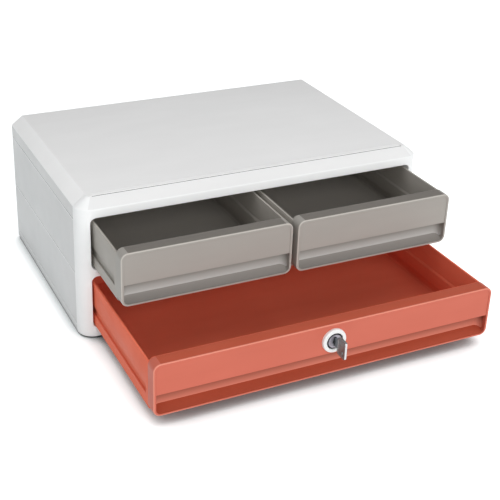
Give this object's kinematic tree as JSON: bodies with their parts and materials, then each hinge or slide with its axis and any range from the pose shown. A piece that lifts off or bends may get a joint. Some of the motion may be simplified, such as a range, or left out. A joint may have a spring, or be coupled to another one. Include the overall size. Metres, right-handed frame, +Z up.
{
  "type": "desktop file drawer",
  "caption": "Free-standing moulded desk organiser: pale casing, small taupe drawers side by side over one wide coral drawer with a cam lock and key, on rubber feet.",
  "frame": {"origin": "on the desk, under the middle of the whole object as it stands with its drawers part open and the key in the lock", "axes": "+X to the right as the user faces the drawers, +Y to the back, away from the user, +Z up; the drawers open towards -Y"},
  "size_m": [0.37, 0.4128, 0.1459],
  "materials": {
    "white_moulding": "fine satin moulding",
    "inner_moulding": "satin moulding",
    "foot_rubber": "dull",
    "taupe_moulding": "fine satin moulding",
    "coral_moulding": "fine satin moulding",
    "lock_ring_plastic": "glossy",
    "lock_zinc": "satin plated zinc",
    "lock_steel": "zinc plated",
    "key_nickel": "bright nickel"
  },
  "bodies": {
    "casing": {"front_frame": "white_moulding", "top_cover": "white_moulding", "upper_shell": "white_moulding", "lower_shell": "white_moulding", "base_pan": "white_moulding", "middle_shelf": "inner_moulding", "centre_guide": "inner_moulding", "upper_left_runner": "inner_moulding", "upper_right_runner": "inner_moulding", "lower_left_runner": "inner_moulding", "lower_right_runner": "inner_moulding", "rubber_feet": "foot_rubber"},
    "left_drawer": {"left_drawer_front": "taupe_moulding", "left_drawer_tray": "taupe_moulding"},
    "right_drawer": {"right_drawer_front": "taupe_moulding", "right_drawer_tray": "taupe_moulding"},
    "large_drawer": {"large_drawer_front": "coral_moulding", "large_drawer_tray": "coral_moulding", "lock_ring": "lock_ring_plastic", "lock_housing": "lock_zinc", "lock_nut": "lock_zinc"},
    "barrel": {"lock_barrel": "lock_zinc", "lock_cam": "lock_steel", "cam_screw": "lock_steel"},
    "key": {"key": "key_nickel"}
  },
  "joints": [
    {"name": "left_slide", "type": "slide", "parent": "casing", "child": "left_drawer", "axis": [0, -1, 0], "range_m": [-0.0743, 0.0907]},
    {"name": "right_slide", "type": "slide", "parent": "casing", "child": "right_drawer", "axis": [0, -1, 0], "range_m": [-0.075, 0.09]},
    {"name": "large_slide", "type": "slide", "parent": "casing", "child": "large_drawer", "axis": [0, -1, 0], "range_m": [-0.1536, 0.0114]},
    {"name": "lock_turn", "type": "hinge", "parent": "large_drawer", "child": "barrel", "pos_m": [0, -0.18488, 0.04725], "axis": [0, 1, 0], "range_deg": [0, 90]},
    {"name": "key_pull", "type": "slide", "parent": "barrel", "child": "key", "axis": [0, -1, 0], "range_m": [0, 0.025]}
  ]
}
